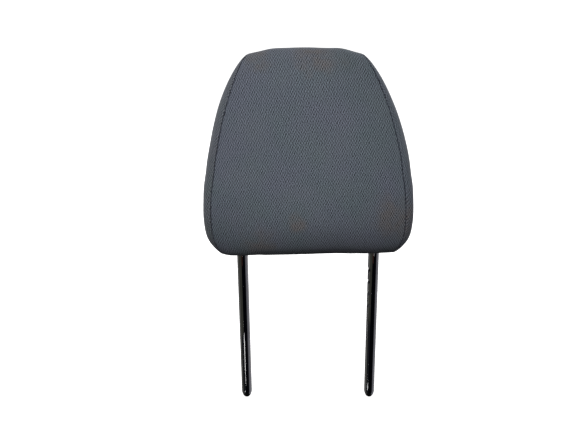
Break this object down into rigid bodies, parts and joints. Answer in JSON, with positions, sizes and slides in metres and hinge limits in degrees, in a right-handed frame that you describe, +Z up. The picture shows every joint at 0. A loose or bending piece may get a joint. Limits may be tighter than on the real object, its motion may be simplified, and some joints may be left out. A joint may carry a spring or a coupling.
{
  "type": "car headrest",
  "caption": "Padded car headrest in woven cloth with side panels, on a pair of chromed posts notched for height adjustment.",
  "frame": {"origin": "midway between the axes of the two posts, in the plane of the grommets' flat stop faces under the cushion", "axes": "+Z up along the posts towards the top of the cushion, -Y forward out of the face that the head rests on, +X to the right of someone who looks at that face"},
  "size_m": [0.221, 0.0948, 0.3986],
  "materials": {
    "cover_cloth": "matt slate blue-grey twill with a fine diagonal weave",
    "post_chrome": "polished",
    "foam": "moulded open-cell foam",
    "core_plastic": "moulded, unpolished",
    "screw_steel": "zinc plated",
    "strip_plastic": "extruded, satin",
    "grommet_plastic": "moulded, fine satin grain"
  },
  "bodies": {
    "root": {"cover_centre_panel": "cover_cloth", "cover_side_left": "cover_cloth", "cover_side_right": "cover_cloth", "post_frame": "post_chrome", "foam_body": "foam", "core_front_shell": "core_plastic", "core_rear_shell": "core_plastic", "core_screw_1": "screw_steel", "core_screw_2": "screw_steel", "core_screw_3": "screw_steel", "core_screw_4": "screw_steel", "closure_strip_front": "strip_plastic", "closure_strip_rear": "strip_plastic", "grommet_left": "grommet_plastic", "grommet_right": "grommet_plastic"}
  },
  "joints": []
}
